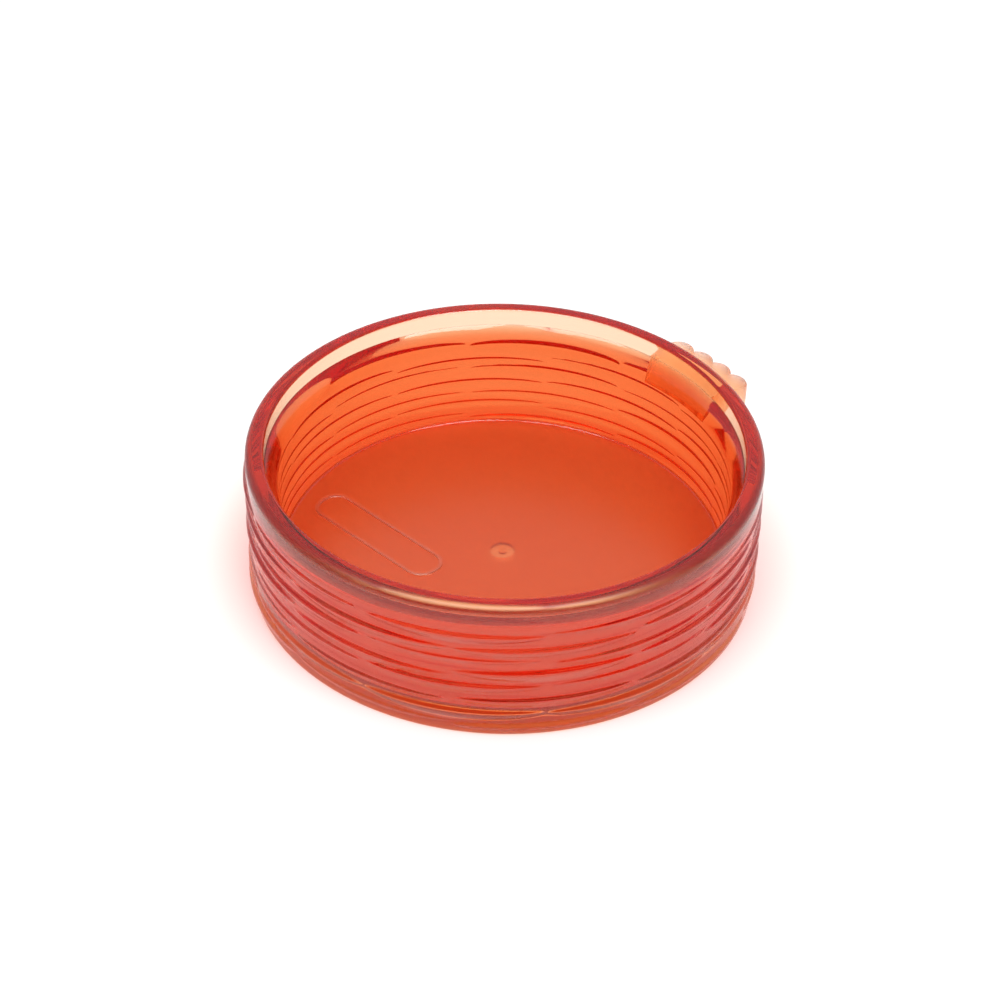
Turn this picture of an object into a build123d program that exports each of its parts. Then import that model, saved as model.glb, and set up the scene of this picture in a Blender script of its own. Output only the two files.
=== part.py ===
from build123d import *

import os
from math import asin, cos, degrees, hypot, radians, sin, sqrt

# Round two-piece insulator cup: a clear amber outer shell with a fluted grip lug, and a
# deep orange liner that nests inside it and lifts straight out.
#
# Millimetres.  +Z is up, the origin is the centre of the underside, and the grip lug stands
# out of the wall towards +X and +Y.

# ---- driving dimensions -------------------------------------------------------------
# Shell: the plain band below the rim is a little narrower than the body under it.
RIM_RADIUS = 42.5
BODY_RADIUS = 43.0
CUP_HEIGHT = 25.6
SHOULDER_TOP = 21.4
SHOULDER_LOW = 19.9
SHELL_WALL = 2.85
SHELL_FLOOR = 1.8
SHELL_CORNER_ROUND = 0.8
RIM_OUTER_ROUND = 1.3
RIM_INNER_ROUND = 0.7
FOOT_ROUND = 0.4

# The liner hangs in the shell with a small even gap all round and stands on its floor.
LINER_GAP = 0.2
LINER_WALL = 2.0
LINER_FLOOR = 1.2
LINER_BELOW_RIM = 3.0
LINER_LIP_HEIGHT = 4.2
LINER_LIP_LAND = 0.1
LINER_LIP_BULGE = 0.55
LINER_CORNER_ROUND = 1.2

# The grip lug is a row of upright rounded flutes standing on a curved backing web.
LUG_AZIMUTH = 41.0
LUG_FLUTES = 4
LUG_FLUTE_PITCH = 5.4
LUG_FLUTE_RADIUS = 2.45
LUG_TIP_RADIUS = 49.3
LUG_TOP = 21.2
LUG_HEIGHT = 5.0
LUG_VALLEY_ROUND = 0.4
LUG_ROUND = 0.8

# Plain panel outline raised on the liner's floor.
PANEL_LENGTH = 28.0
PANEL_WIDTH = 7.0
PANEL_LINE = 0.7
PANEL_RELIEF = 0.25
PANEL_CORNER = 3.2
PANEL_RADIUS = 21.5
PANEL_AZIMUTH = 172.0
PANEL_TURN = -43.0

# Moulding gate: a round dimple under the liner's floor with a small nub left in it.
GATE_DIMPLE_RADIUS = 2.1
GATE_DIMPLE_DEPTH = 0.5
GATE_NUB_RADIUS = 0.7
GATE_NUB_HEIGHT = 0.3

# Two heights closer than this are the same height.
SAME_HEIGHT = 0.01

# ---- derived sizes ------------------------------------------------------------------
shell_bore = RIM_RADIUS - SHELL_WALL
liner_outer = shell_bore - LINER_GAP
liner_inner = liner_outer - LINER_WALL
liner_base = SHELL_FLOOR
liner_seat = liner_base + LINER_FLOOR
liner_top = CUP_HEIGHT - LINER_BELOW_RIM
lug_base = LUG_TOP - LUG_HEIGHT
lug_root = RIM_RADIUS - SHELL_WALL / 2
flute_centre = LUG_TIP_RADIUS - LUG_FLUTE_RADIUS

# The lug's two radial sides meet the end flutes at a tangent.
side_turn = degrees(asin(LUG_FLUTE_RADIUS / flute_centre))
side_radius = sqrt(flute_centre**2 - LUG_FLUTE_RADIUS**2)


def on_circle(radius, azimuth):
    """Point at a radius and an azimuth in degrees, measured from +X towards +Y."""
    return radius * cos(radians(azimuth)), radius * sin(radians(azimuth))


def lip_crown(land, foot):
    """Point of the liner's arched lip that stands furthest from the straight slope."""
    run, fall = land[0] - foot[0], land[1] - foot[1]
    lift = LINER_LIP_BULGE / hypot(run, fall)
    return (land[0] + foot[0]) / 2 - fall * lift, (land[1] + foot[1]) / 2 + run * lift


def flute_azimuths():
    """Azimuths of the lug's flutes, evenly spread about the lug's middle."""
    first = LUG_AZIMUTH - LUG_FLUTE_PITCH * (LUG_FLUTES - 1) / 2
    return [first + LUG_FLUTE_PITCH * i for i in range(LUG_FLUTES)]


def on_lug_outline(edge):
    """True for an edge of the lug's top or bottom that is clear of the round wall."""
    middle = edge @ 0.5
    level = min(abs(middle.Z - LUG_TOP), abs(middle.Z - lug_base))
    return level < SAME_HEIGHT and hypot(middle.X, middle.Y) > BODY_RADIUS + LUG_ROUND


def in_valley(vertex):
    """True for a corner of the lug's outline where two flutes meet."""
    return hypot(vertex.X, vertex.Y) > flute_centre


# ---- outer shell --------------------------------------------------------------------
with BuildPart() as outer_shell:
    # Wall and floor, turned from one closed section with a shoulder on the outside.
    with BuildSketch(Plane.XZ) as shell_section:
        with BuildLine():
            Polyline(
                (0, 0),
                (BODY_RADIUS, 0),
                (BODY_RADIUS, SHOULDER_LOW),
                (RIM_RADIUS, SHOULDER_TOP),
                (RIM_RADIUS, CUP_HEIGHT),
                (shell_bore, CUP_HEIGHT),
                (shell_bore, SHELL_FLOOR),
                (0, SHELL_FLOOR),
                close=True,
            )
        make_face()
        corners = shell_section.vertices()
        fillet(corners.sort_by_distance((RIM_RADIUS, CUP_HEIGHT))[0], RIM_OUTER_ROUND)
        corners = shell_section.vertices()
        fillet(corners.sort_by_distance((shell_bore, CUP_HEIGHT))[0], RIM_INNER_ROUND)
        corners = shell_section.vertices()
        fillet(corners.sort_by_distance((shell_bore, SHELL_FLOOR))[0], SHELL_CORNER_ROUND)
        corners = shell_section.vertices()
        fillet(corners.sort_by_distance((BODY_RADIUS, 0))[0], FOOT_ROUND)
    revolve(axis=Axis.Z)

    # Grip lug: flutes and web, rooted in the middle of the wall.
    with BuildSketch(Plane.XY.offset(lug_base)) as lug_section:
        for azimuth in flute_azimuths():
            with Locations(on_circle(flute_centre, azimuth)):
                Circle(LUG_FLUTE_RADIUS)
        with BuildLine():
            start = flute_azimuths()[0] - side_turn
            end = flute_azimuths()[-1] + side_turn
            CenterArc((0, 0), lug_root, start, end - start)
            CenterArc((0, 0), side_radius, start, end - start)
            Line(on_circle(lug_root, start), on_circle(side_radius, start))
            Line(on_circle(lug_root, end), on_circle(side_radius, end))
        make_face()
        fillet(lug_section.vertices().filter_by(in_valley), LUG_VALLEY_ROUND)
        Circle(lug_root, mode=Mode.SUBTRACT)
    extrude(amount=LUG_HEIGHT)
    fillet(outer_shell.edges().filter_by(on_lug_outline), LUG_ROUND)

outer_shell.part.label = "outer_shell"

# ---- inner liner --------------------------------------------------------------------
with BuildPart() as inner_liner:
    # The lip slopes in a shallow arch from a narrow land at the outside to the inner wall.
    with BuildSketch(Plane.XZ) as liner_section:
        with BuildLine():
            lip_foot = (liner_inner, liner_top - LINER_LIP_HEIGHT)
            lip_land = (liner_outer - LINER_LIP_LAND, liner_top)
            Line((0, liner_base), (liner_outer, liner_base))
            Line((liner_outer, liner_base), (liner_outer, liner_top))
            Line((liner_outer, liner_top), lip_land)
            ThreePointArc(lip_land, lip_crown(lip_land, lip_foot), lip_foot)
            Line(lip_foot, (liner_inner, liner_seat))
            Line((liner_inner, liner_seat), (0, liner_seat))
            Line((0, liner_seat), (0, liner_base))
        make_face()
        corners = liner_section.vertices()
        fillet(corners.sort_by_distance((liner_outer, liner_base))[0], LINER_CORNER_ROUND)
    revolve(axis=Axis.Z)

    # Gate dimple on the underside, with its nub.
    with BuildSketch(Plane.XY.offset(liner_base)):
        Circle(GATE_DIMPLE_RADIUS)
    extrude(amount=GATE_DIMPLE_DEPTH, mode=Mode.SUBTRACT)
    with BuildSketch(Plane.XY.offset(liner_base + GATE_DIMPLE_DEPTH)):
        Circle(GATE_NUB_RADIUS)
    extrude(amount=-GATE_NUB_HEIGHT)

    # Raised panel outline on the floor.
    panel_plane = Plane.XY.offset(liner_seat)
    with BuildSketch(panel_plane):
        with Locations(Location((*on_circle(PANEL_RADIUS, PANEL_AZIMUTH), 0), (0, 0, PANEL_TURN))):
            RectangleRounded(PANEL_LENGTH, PANEL_WIDTH, PANEL_CORNER)
            RectangleRounded(
                PANEL_LENGTH - 2 * PANEL_LINE,
                PANEL_WIDTH - 2 * PANEL_LINE,
                PANEL_CORNER - PANEL_LINE,
                mode=Mode.SUBTRACT,
            )
    extrude(amount=PANEL_RELIEF)

inner_liner.part.label = "inner_liner"

# ---- files --------------------------------------------------------------------------
os.makedirs("parts", exist_ok=True)
export_step(outer_shell.part, "parts/outer_shell.step")
export_step(inner_liner.part, "parts/inner_liner.step")
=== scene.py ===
"""Looks of the clear amber insulator cup: rippled outer shell, deep orange liner, soft studio."""

from math import cos, pi, radians, sin

import bpy
import numpy as np
from mathutils import Matrix, Vector


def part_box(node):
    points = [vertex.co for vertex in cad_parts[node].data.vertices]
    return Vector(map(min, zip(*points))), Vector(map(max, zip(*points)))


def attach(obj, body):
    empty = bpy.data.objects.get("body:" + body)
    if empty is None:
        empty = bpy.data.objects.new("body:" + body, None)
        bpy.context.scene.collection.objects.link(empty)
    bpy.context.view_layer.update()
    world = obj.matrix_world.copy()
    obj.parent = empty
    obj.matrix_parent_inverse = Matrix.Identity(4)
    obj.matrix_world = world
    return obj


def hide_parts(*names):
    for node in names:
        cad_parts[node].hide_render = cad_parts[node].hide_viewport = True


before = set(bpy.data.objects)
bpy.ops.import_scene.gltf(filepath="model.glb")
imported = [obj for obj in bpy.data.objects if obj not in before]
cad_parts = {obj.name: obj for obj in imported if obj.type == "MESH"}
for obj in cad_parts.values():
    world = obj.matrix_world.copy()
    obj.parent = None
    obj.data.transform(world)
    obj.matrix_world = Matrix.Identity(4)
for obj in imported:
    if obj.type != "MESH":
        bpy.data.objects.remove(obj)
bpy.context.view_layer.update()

MM = 0.001

# ---- sizes read from the frame, in millimetres ------------------------------------------
shell_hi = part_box("outer_shell")[1] / MM
liner_lo, liner_hi = (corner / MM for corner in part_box("inner_liner"))
CUP_H = shell_hi.z
LINER_R = liner_hi.x
LINER_TOP = liner_hi.z
# The liner's underside is drawn this far above the shell's floor, so that the two never coincide.
FLOOR_GAP = 0.04
LINER_BASE = liner_lo.z + FLOOR_GAP
# The shell's bore and the liner's wall are drawn crossing by this much, which real walls cannot.
# It stands for polished walls that touch, where light passes straight from one to the other.
CONTACT = 0.04

# ---- section of the two pieces, in millimetres --------------------------------------------
RIM_R = 42.5
BODY_R = 43.0
SHELL_FLOOR = 1.8
SHELL_CORNER_ROUND = 0.8
RIM_OUTER_ROUND = 1.3
RIM_INNER_ROUND = 0.7
FOOT_ROUND = 0.4
LINER_WALL = 2.0
LINER_FLOOR = 1.2
LINER_CORNER_ROUND = 1.2
LINER_SEAT_ROUND = 0.6
LIP_HEIGHT = 4.2
LIP_LAND = 0.1
LIP_BULGE = 0.55
DIMPLE_R = 2.1
DIMPLE_DEPTH = 0.5
NUB_R = 0.7
NUB_HEIGHT = 0.3

# ---- ripples on the outside of the shell: rows of long lens-shaped swellings -----------------
SHOULDER_TOP = 21.4
SHOULDER_LOW = 19.9
RIPPLE_ROWS = 8
RIPPLE_FIRST_Z = 2.2
RIPPLE_PITCH = 2.55
RIPPLE_PER_ROW = 9
RIPPLE_UP = 0.9
RIPPLE_DOWN = 2.2
RIPPLE_RISE = 0.6
RIPPLE_LEAST = 0.4
RIPPLE_STRAY = 0.6
RIPPLE_SEED = 7

# ---- grip lug ------------------------------------------------------------------------------
LUG_AZIMUTH = 41.0
LUG_FLUTES = 4
LUG_PITCH = 5.4
LUG_FLUTE_R = 2.45
LUG_TIP_R = 49.3
LUG_TOP = 21.2
LUG_BASE = LUG_TOP - 5.0
LUG_ROUND = 0.8

# ---- plain panel outline raised on the liner's floor -----------------------------------------
PANEL_LENGTH = 28.0
PANEL_WIDTH = 7.0
PANEL_LINE = 0.7
PANEL_RELIEF = 0.25
PANEL_CORNER = 3.2
PANEL_R = 21.5
PANEL_AZIMUTH = 172.0
PANEL_TURN = -43.0
PANEL_GAP = 0.01

# ---- plastics: absorption of red, green and blue per metre, and how matt the matt places are ---
PALE_ABSORB = (12, 101, 200)
DEEP_ABSORB = (45, 630, 1050)
INDEX = 1.49
UNDERSIDE_MATT = 0.5
LUG_MATT = 0.7
RIM_MATT = 0.35
SEAT_MATT = 0.3
FAR = 99.0

# ---- lamps ------------------------------------------------------------------------------------
KEY = 5.7
FILL = 4.1
LAMP_DISTANCE = 1.0
LAMP_SIZE = 0.5
LAMP_ELEVATION = 68
SKY_BACK = 0.75
SKY_FRONT = 0.1

# ---- camera: lens in millimetres, distance in rim radii, directions in degrees -----------------
LENS = 80.7
CAMERA_RADII = 9
SEEN_FROM = 39.268
YAW, PITCH, ROLL = -0.122, 37.673, 1.336


# ---- meshes -------------------------------------------------------------------------------------
def arc(cx, cz, radius, start, end, steps):
    """Points on an arc in the section plane, angles in degrees."""
    t = np.radians(np.linspace(start, end, steps + 1))
    return np.stack([cx + radius * np.cos(t), cz + radius * np.sin(t)], 1)


def run(a, b, steps):
    """Evenly spaced points from a to b, without b."""
    t = np.linspace(0, 1, steps, endpoint=False)[:, None]
    return np.array(a) * (1 - t) + np.array(b) * t


def bulged(a, b, bulge, steps):
    """Points from a to b along a shallow arch that stands out to the right of the way."""
    t = np.linspace(0, 1, steps + 1)[:, None]
    a, b = np.array(a), np.array(b)
    way = (b - a) / np.linalg.norm(b - a)
    out = np.array([way[1], -way[0]])
    return a * (1 - t) + b * t + out * bulge * 4 * t * (1 - t)


def solid(name, meshes):
    """One object from a list of (points in millimetres, faces), shaded smooth up to 40 degrees."""
    points, faces = [], []
    for some_points, some_faces in meshes:
        faces += [[corner + len(points) for corner in face] for face in some_faces]
        points += (some_points * MM).tolist()
    mesh = bpy.data.meshes.new(name)
    mesh.from_pydata(points, [], faces)
    mesh.update()
    mesh.polygons.foreach_set("use_smooth", np.ones(len(mesh.polygons), bool))
    mesh.set_sharp_from_angle(angle=radians(40))
    piece = bpy.data.objects.new(name, mesh)
    bpy.context.scene.collection.objects.link(piece)
    return piece


def lathe(section, azimuths, relief=None):
    """Closed solid of revolution. The section starts and ends on the axis; relief(r, z, azimuth)
    returns the radius that the surface really has there."""
    rows = section[1:-1]
    az = azimuths[None, :]
    r = np.repeat(rows[:, :1], len(azimuths), 1)
    z = np.repeat(rows[:, 1:], len(azimuths), 1)
    if relief is not None:
        r = relief(r, z, np.repeat(az, len(rows), 0))
    points = np.stack([r * np.cos(np.radians(az)), r * np.sin(np.radians(az)), z], 2).reshape(-1, 3)
    n, m = len(azimuths), len(rows)
    ends = np.array([[0, 0, section[0, 1]], [0, 0, section[-1, 1]]])
    i, j = np.meshgrid(np.arange(m - 1), np.arange(n), indexing="ij")
    k = (j + 1) % n
    quads = np.stack([i * n + j, i * n + k, (i + 1) * n + k, (i + 1) * n + j], 2).reshape(-1, 4)
    j = np.arange(n)
    k = (j + 1) % n
    first = np.stack([k, j, np.full(n, n * m)], 1)
    last = np.stack([(m - 1) * n + j, (m - 1) * n + k, np.full(n, n * m + 1)], 1)
    return np.vstack([points, ends]), quads.tolist() + first.tolist() + last.tolist()


chance = np.random.default_rng(RIPPLE_SEED)
swelling_size = chance.uniform(RIPPLE_LEAST, 1, (RIPPLE_ROWS, RIPPLE_PER_ROW))
swelling_shift = chance.uniform(-RIPPLE_STRAY, RIPPLE_STRAY, (RIPPLE_ROWS, RIPPLE_PER_ROW))


def swellings(z, azimuth):
    """Height in millimetres of the ripples, steeper on top, each row shifted by half a swelling
    from the one below and every swelling a little different in size and height."""
    rise = np.zeros_like(z)
    for row in range(RIPPLE_ROWS):
        wave = azimuth / 360 * RIPPLE_PER_ROW + 0.5 * (row % 2)
        which = np.round(wave).astype(int) % RIPPLE_PER_ROW
        along = 2 * (wave - np.round(wave))
        half = np.sqrt(np.clip(1 - along**2, 0.0001, 1)) * swelling_size[row, which]
        v = z - (RIPPLE_FIRST_Z + RIPPLE_PITCH * row + swelling_shift[row, which])
        v = np.where(v > 0, v / RIPPLE_UP, v / RIPPLE_DOWN) / half
        rise = np.maximum(rise, half * np.clip(1 - v**2, 0, 1) ** 2)
    return RIPPLE_RISE * rise


def wall_radius(z, azimuth):
    """Outer radius of the wall: plain below the rim, then a shoulder out to the rippled body."""
    t = np.clip((SHOULDER_TOP - z) / (SHOULDER_TOP - SHOULDER_LOW), 0, 1)
    body = RIM_R + (BODY_R - RIPPLE_RISE - RIM_R) * t * t * (3 - 2 * t)
    fade = np.clip((SHOULDER_TOP - z) / 0.4, 0, 1) * np.clip((z - 1.0) / 0.6, 0, 1)
    return np.minimum(body + swellings(z, azimuth) * fade, BODY_R)


def lug_radius(azimuth):
    """Outer radius of the grip lug's flutes at an azimuth, or 0 away from the lug."""
    flute_centre = LUG_TIP_R - LUG_FLUTE_R
    out = np.zeros_like(azimuth)
    for i in range(LUG_FLUTES):
        off = np.radians(azimuth - LUG_AZIMUTH - LUG_PITCH * (i - (LUG_FLUTES - 1) / 2))
        across = flute_centre * np.sin(off)
        inside = (np.abs(across) < LUG_FLUTE_R) & (np.cos(off) > 0)
        tip = flute_centre * np.cos(off) + np.sqrt(np.clip(LUG_FLUTE_R**2 - across**2, 0, None))
        out = np.where(inside, np.maximum(out, tip), out)
    return out


def shell_relief(r, z, azimuth):
    """Outer wall with its ripples and the grip lug; the inside stays round."""
    foot = (r > RIM_R - FOOT_ROUND - 0.001) & (z < FOOT_ROUND)
    wall = np.where(foot, r + BODY_R - RIPPLE_RISE - RIM_R, wall_radius(z, azimuth))
    outer = (r > RIM_R - 0.001) & (z > FOOT_ROUND - 0.001) | foot
    end = np.clip(np.minimum(LUG_TOP - z, z - LUG_BASE) / LUG_ROUND, 0, 1)
    pull = LUG_ROUND * (1 - np.sqrt(1 - (1 - end) ** 2))
    lug = np.where((z <= LUG_TOP) & (z >= LUG_BASE), lug_radius(azimuth) - pull, 0)
    return np.where(outer, np.maximum(wall, lug), r)


def shell_section():
    bore = LINER_R - CONTACT
    seat = SHELL_FLOOR + SHELL_CORNER_ROUND
    z_high = CUP_H - RIM_OUTER_ROUND
    rounds = LUG_ROUND * (1 - np.cos(np.linspace(0, pi / 2, 9)))
    sides = np.array([LUG_TOP + 0.002, LUG_BASE - 0.002])
    rises = [np.linspace(FOOT_ROUND, z_high, 140), LUG_TOP - rounds, LUG_BASE + rounds, sides]
    rises = np.unique(np.concatenate(rises))
    return np.vstack(
        [
            run((0, 0), (RIM_R - FOOT_ROUND, 0), 12),
            arc(RIM_R - FOOT_ROUND, FOOT_ROUND, FOOT_ROUND, -90, 0, 8)[:-1],
            np.stack([np.full(len(rises), RIM_R), rises], 1),
            arc(RIM_R - RIM_OUTER_ROUND, z_high, RIM_OUTER_ROUND, 0, 90, 12)[1:],
            arc(bore + RIM_INNER_ROUND, CUP_H - RIM_INNER_ROUND, RIM_INNER_ROUND, 90, 180, 10),
            run((bore, CUP_H - RIM_INNER_ROUND), (bore, seat), 20)[1:],
            arc(bore - SHELL_CORNER_ROUND, seat, SHELL_CORNER_ROUND, 0, -90, 8),
            run((bore - SHELL_CORNER_ROUND, SHELL_FLOOR), (0, SHELL_FLOOR), 12)[1:],
            [(0, SHELL_FLOOR)],
        ]
    )


def liner_section():
    inner = LINER_R - LINER_WALL
    seat = LINER_BASE + LINER_FLOOR
    lip_foot = LINER_TOP - LIP_HEIGHT
    corner = LINER_CORNER_ROUND
    dimple_top = LINER_BASE + DIMPLE_DEPTH
    bend = LINER_SEAT_ROUND
    return np.vstack(
        [
            run((0, dimple_top - NUB_HEIGHT), (NUB_R, dimple_top - NUB_HEIGHT), 3),
            run((NUB_R, dimple_top - NUB_HEIGHT), (NUB_R, dimple_top), 3),
            run((NUB_R, dimple_top), (DIMPLE_R, dimple_top), 4),
            run((DIMPLE_R, dimple_top), (DIMPLE_R, LINER_BASE), 3),
            run((DIMPLE_R, LINER_BASE), (LINER_R - corner, LINER_BASE), 12),
            arc(LINER_R - corner, LINER_BASE + corner, corner, -90, 0, 10),
            run((LINER_R, LINER_BASE + corner), (LINER_R, LINER_TOP - LIP_LAND), 20)[1:],
            arc(LINER_R - LIP_LAND, LINER_TOP - LIP_LAND, LIP_LAND, 0, 90, 4),
            bulged((LINER_R - LIP_LAND, LINER_TOP), (inner, lip_foot), LIP_BULGE, 32)[1:],
            run((inner, lip_foot), (inner, seat + bend), 20)[1:],
            arc(inner - bend, seat + bend, bend, 0, -90, 8),
            run((inner - bend, seat), (0, seat), 12)[1:],
            [(0, seat)],
        ]
    )


def shell_azimuths():
    """Even steps, and finer ones across the grip lug."""
    coarse = np.arange(0, 360, 0.6)
    half = LUG_PITCH * LUG_FLUTES / 2 + 2
    fine = np.arange(LUG_AZIMUTH - half, LUG_AZIMUTH + half, 0.12)
    return np.unique(np.round(np.concatenate([coarse, fine]), 4))


def panel_outline():
    """Raised line round a rounded rectangle on the liner's floor: a closed ring of its own."""
    straight_x = PANEL_LENGTH / 2 - PANEL_CORNER
    straight_y = PANEL_WIDTH / 2 - PANEL_CORNER
    turn = np.radians(np.linspace(0, 90, 9))
    centre, facing = [], []
    for quarter, (sx, sy) in enumerate(((1, 1), (-1, 1), (-1, -1), (1, -1))):
        for angle in turn + quarter * pi / 2:
            centre.append((sx * straight_x, sy * straight_y))
            facing.append((cos(angle), sin(angle)))
    centre, facing = np.array(centre), np.array(facing)
    low = LINER_BASE + LINER_FLOOR + PANEL_GAP
    high = low + PANEL_RELIEF - PANEL_GAP
    line = ((0, low), (0, high - 0.08), (-0.1, high), (0.1 - PANEL_LINE, high),
            (-PANEL_LINE, high - 0.08), (-PANEL_LINE, low))
    turned = radians(PANEL_TURN)
    spin = np.array([[cos(turned), sin(turned)], [-sin(turned), cos(turned)]])
    place = PANEL_R * np.array([cos(radians(PANEL_AZIMUTH)), sin(radians(PANEL_AZIMUTH))])
    rings = []
    for out, z in line:
        flat = (centre + facing * (PANEL_CORNER + out)) @ spin + place
        rings.append(np.column_stack([flat, np.full(len(flat), z)]))
    n, m = len(centre), len(line)
    faces = []
    for i in range(m):
        for j in range(n):
            k, below = (j + 1) % n, (i + 1) % m
            faces.append([i * n + j, i * n + k, below * n + k, below * n + j])
    return np.vstack(rings), faces


# ---- materials --------------------------------------------------------------------------------
def clear_plastic(name, absorb, matt_zones):
    """Moulded transparent plastic. absorb holds the red, green and blue absorption per metre;
    matt_zones holds (least radius, most radius, least height, most height, roughness)."""
    material = bpy.data.materials.new(name)
    material.use_nodes = True
    nodes, links = material.node_tree.nodes, material.node_tree.links

    def math(kind, *values):
        node = nodes.new("ShaderNodeMath")
        node.operation = kind
        for socket, value in zip(node.inputs, values):
            if isinstance(value, (int, float)):
                socket.default_value = value
            else:
                links.new(value, socket)
        return node.outputs["Value"]

    def noise(scale, detail):
        node = nodes.new("ShaderNodeTexNoise")
        node.inputs["Scale"].default_value = scale
        node.inputs["Detail"].default_value = detail
        links.new(place.outputs["Object"], node.inputs["Vector"])
        return node.outputs["Fac"]

    shader = nodes["Principled BSDF"]
    shader.inputs["Base Color"].default_value = (1, 1, 1, 1)
    shader.inputs["Transmission Weight"].default_value = 1
    shader.inputs["IOR"].default_value = INDEX

    place = nodes.new("ShaderNodeTexCoord")
    split = nodes.new("ShaderNodeSeparateXYZ")
    links.new(place.outputs["Object"], split.inputs["Vector"])
    height = split.outputs["Z"]
    across = math("SQRT", math("ADD", math("POWER", split.outputs["X"], 2.0),
                               math("POWER", split.outputs["Y"], 2.0)))

    # Polish that is a little uneven from handling, and the moulding's matt places.
    rough = math("MULTIPLY", math("POWER", noise(220, 4), 4.0), 0.25)
    for r_least, r_most, z_least, z_most, matt in matt_zones:
        round_it = math("MULTIPLY", math("GREATER_THAN", across, r_least * MM),
                        math("LESS_THAN", across, r_most * MM))
        level = math("MULTIPLY", math("GREATER_THAN", height, z_least * MM),
                     math("LESS_THAN", height, z_most * MM))
        rough = math("MAXIMUM", rough, math("MULTIPLY", matt, math("MULTIPLY", round_it, level)))
    links.new(rough, shader.inputs["Roughness"])

    # Faint waviness of a moulded surface.
    bump = nodes.new("ShaderNodeBump")
    bump.inputs["Strength"].default_value = 0.25
    bump.inputs["Distance"].default_value = 0.0001
    links.new(noise(90, 2), bump.inputs["Height"])
    links.new(bump.outputs["Normal"], shader.inputs["Normal"])

    densest = max(absorb)
    volume = nodes.new("ShaderNodeVolumeAbsorption")
    volume.inputs["Color"].default_value = (*[1 - a / densest for a in absorb], 1)
    volume.inputs["Density"].default_value = densest
    links.new(volume.outputs["Volume"], nodes["Material Output"].inputs["Volume"])

    # Light reaches the table through the plastic, tinted but not broken up.
    path = nodes.new("ShaderNodeLightPath")
    clear = nodes.new("ShaderNodeBsdfTransparent")
    clear.inputs["Color"].default_value = (0.98, 0.98, 0.98, 1)
    pick = nodes.new("ShaderNodeMixShader")
    links.new(math("MAXIMUM", path.outputs["Is Shadow Ray"], path.outputs["Is Diffuse Ray"]),
              pick.inputs["Fac"])
    links.new(shader.outputs["BSDF"], pick.inputs[1])
    links.new(clear.outputs["BSDF"], pick.inputs[2])
    links.new(pick.outputs["Shader"], nodes["Material Output"].inputs["Surface"])
    return material


# ---- pieces -------------------------------------------------------------------------------------
seat_z = LINER_BASE + LINER_FLOOR
shell = solid("rippled_shell", [lathe(shell_section(), shell_azimuths(), shell_relief)])
shell_matt = [
    (-1, FAR, -1, 0.02, UNDERSIDE_MATT),
    (BODY_R + 0.2, FAR, LUG_BASE - 1, LUG_TOP + 1, LUG_MATT),
    (RIM_R - RIM_OUTER_ROUND, FAR, CUP_H - RIM_OUTER_ROUND, FAR, RIM_MATT),
]
shell.data.materials.append(clear_plastic("clear_amber", PALE_ABSORB, shell_matt))
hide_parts("outer_shell")
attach(shell, "shell")

liner = solid("nested_liner", [lathe(liner_section(), np.arange(0, 360, 1.0)), panel_outline()])
liner_matt = [
    (-1, FAR, -1, LINER_BASE + 0.02, UNDERSIDE_MATT),
    (-1, FAR, seat_z - 0.02, seat_z + 0.02, SEAT_MATT),
]
liner.data.materials.append(clear_plastic("deep_orange", DEEP_ABSORB, liner_matt))
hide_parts("inner_liner")
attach(liner, "liner")

# ---- stage: floor and light --------------------------------------------------------------------
reach, under = 3.0, -0.00005
floor_mesh = bpy.data.meshes.new("studio_floor")
floor_corners = [(x * reach, y * reach, under) for x, y in ((-1, -1), (1, -1), (1, 1), (-1, 1))]
floor_mesh.from_pydata(floor_corners, [], [(0, 1, 2, 3)])
floor = bpy.data.objects.new("studio_floor", floor_mesh)
bpy.context.scene.collection.objects.link(floor)
paper = bpy.data.materials.new("pale_paper")
paper.use_nodes = True
paper_shader = paper.node_tree.nodes["Principled BSDF"]
paper_shader.inputs["Base Color"].default_value = (0.93, 0.93, 0.93, 1)
paper_shader.inputs["Roughness"].default_value = 0.6
paper_shader.inputs["Specular IOR Level"].default_value = 0
floor_mesh.materials.append(paper)


def softbox(name, azimuth, elevation, distance, size, power):
    """Square area light aimed at the cup."""
    light = bpy.data.lights.new(name, "AREA")
    light.shape = "SQUARE"
    light.size = size
    light.energy = power
    lamp = bpy.data.objects.new(name, light)
    a, e = radians(azimuth), radians(elevation)
    back = Vector((sin(a) * cos(e), -cos(a) * cos(e), sin(e)))
    lamp.location = back * distance
    lamp.rotation_mode = "QUATERNION"
    lamp.rotation_quaternion = back.to_track_quat("Z", "Y")
    bpy.context.scene.collection.objects.link(lamp)


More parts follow.
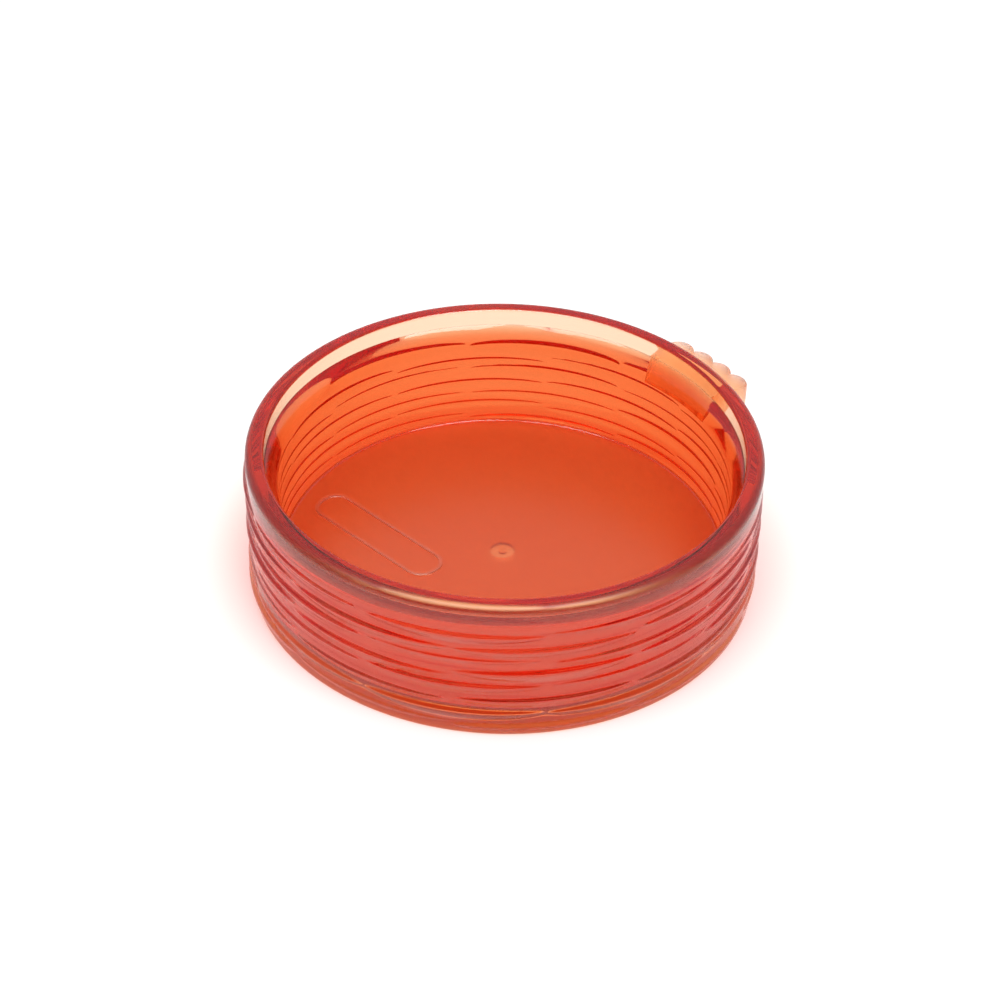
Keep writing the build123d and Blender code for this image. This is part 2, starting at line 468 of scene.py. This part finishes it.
softbox("key_right", 40, LAMP_ELEVATION, LAMP_DISTANCE, LAMP_SIZE, KEY)
softbox("fill_left", -50, LAMP_ELEVATION, LAMP_DISTANCE, LAMP_SIZE, FILL)

# The studio is bright behind the cup and dimmer on the viewer's side.
world = bpy.data.worlds.new("studio")
world.use_nodes = True
nodes, links = world.node_tree.nodes, world.node_tree.links
direction = nodes.new("ShaderNodeTexCoord")
parts = nodes.new("ShaderNodeSeparateXYZ")
shade = nodes.new("ShaderNodeMapRange")
shade.inputs["From Min"].default_value = -0.6
shade.inputs["From Max"].default_value = 0.3
shade.inputs["To Min"].default_value = SKY_FRONT
shade.inputs["To Max"].default_value = SKY_BACK
nodes["Background"].inputs["Color"].default_value = (1, 1, 1, 1)
links.new(direction.outputs["Generated"], parts.inputs["Vector"])
links.new(parts.outputs["Y"], shade.inputs["Value"])
links.new(shade.outputs["Result"], nodes["Background"].inputs["Strength"])
bpy.context.scene.world = world

# ---- camera ---------------------------------------------------------------------------------------
camera_data = bpy.data.cameras.new("camera")
camera_data.lens = LENS
camera_data.sensor_width = 36
camera_data.clip_start = 0.01
camera = bpy.data.objects.new("camera", camera_data)
distance = CAMERA_RADII * RIM_R * MM
seen_from, yaw, pitch, roll = (radians(angle) for angle in (SEEN_FROM, YAW, PITCH, ROLL))
ahead = Vector((sin(yaw) * cos(pitch), cos(yaw) * cos(pitch), -sin(pitch)))
right = Vector((cos(yaw), -sin(yaw), 0))
up = right.cross(ahead)
side = right * cos(roll) + up * sin(roll)
top = up * cos(roll) - right * sin(roll)
place = Vector((0, -distance * cos(seen_from), distance * sin(seen_from)))
camera.matrix_world = Matrix.Translation(place) @ Matrix((side, top, -ahead)).transposed().to_4x4()
bpy.context.scene.collection.objects.link(camera)
bpy.context.scene.camera = camera

# ---- render behaviour ------------------------------------------------------------------------------
scene = bpy.context.scene
scene.view_settings.view_transform = "Standard"
scene.cycles.max_bounces = 64
scene.cycles.transmission_bounces = 64
scene.cycles.glossy_bounces = 8
scene.cycles.diffuse_bounces = 4
scene.cycles.transparent_max_bounces = 16
scene.cycles.volume_bounces = 0
scene.cycles.use_denoising = True
